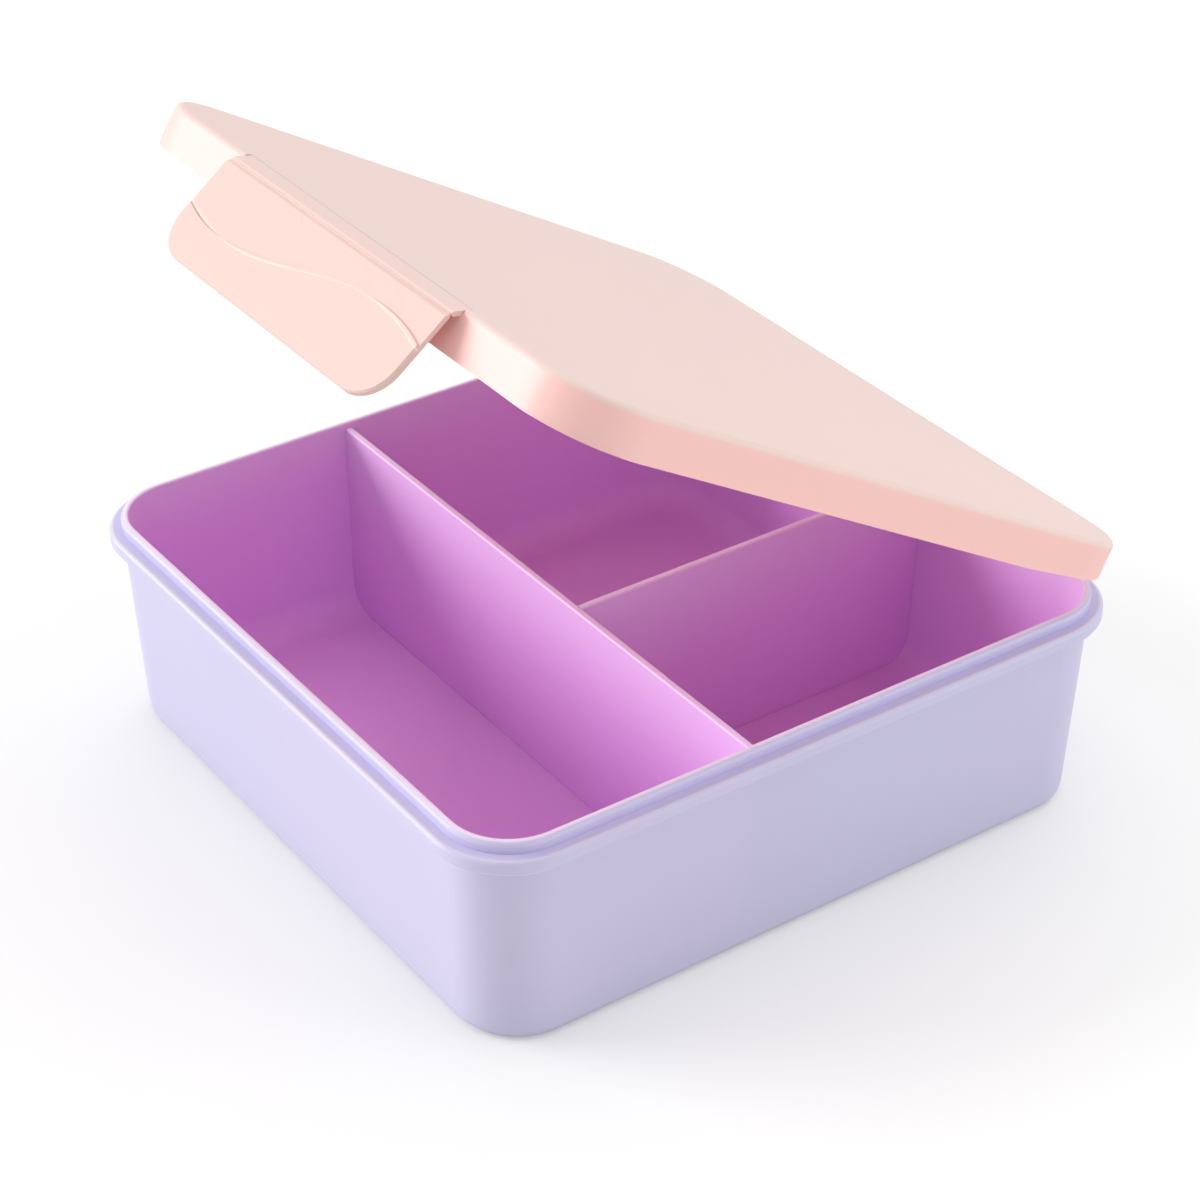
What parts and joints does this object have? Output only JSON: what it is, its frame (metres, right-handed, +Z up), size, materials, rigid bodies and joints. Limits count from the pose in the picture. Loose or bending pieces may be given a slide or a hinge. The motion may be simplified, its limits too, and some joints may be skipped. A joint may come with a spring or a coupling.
{
  "type": "lunch box",
  "caption": "Square moulded lunch box with a divided tub, and a lid that swings on its hooked rear latch and shuts with a wide front latch.",
  "frame": {"origin": "middle of the tub's flat underside, on the surface that it stands on", "axes": "+Z up; the front latch is on the -Y side and the lid's hinge on the +Y side; +X runs along the long divider"},
  "size_m": [0.1902, 0.1996, 0.1677],
  "materials": {
    "tub_plastic": "lilac moulded polypropylene, satin",
    "lid_plastic": "pale pink moulded polypropylene, satin"
  },
  "bodies": {
    "tub": {"tub": "tub_plastic", "long_divider": "tub_plastic", "cross_divider": "tub_plastic"},
    "lid": {"lid_panel": "lid_plastic", "front_hinge_strip": "lid_plastic", "rear_hinge_strip": "lid_plastic"},
    "front_latch": {"front_latch": "lid_plastic"},
    "rear_latch": {"rear_latch": "lid_plastic"}
  },
  "joints": [
    {"name": "lid_hinge", "type": "hinge", "parent": "tub", "child": "lid", "pos_m": [0, 0.102, 0.0652], "axis": [-1, 0, 0], "range_deg": [-30.6, 69.4]},
    {"name": "front_latch_hinge", "type": "hinge", "parent": "lid", "child": "front_latch", "pos_m": [0, -0.07058, 0.16726], "axis": [-1, 0, 0], "range_deg": [-21.9, 83.1], "stiffness_Nm_per_rad": 0.01},
    {"name": "rear_latch_hinge", "type": "hinge", "parent": "tub", "child": "rear_latch", "pos_m": [0, 0.102, 0.0652], "axis": [1, 0, 0], "range_deg": [0, 70]}
  ]
}
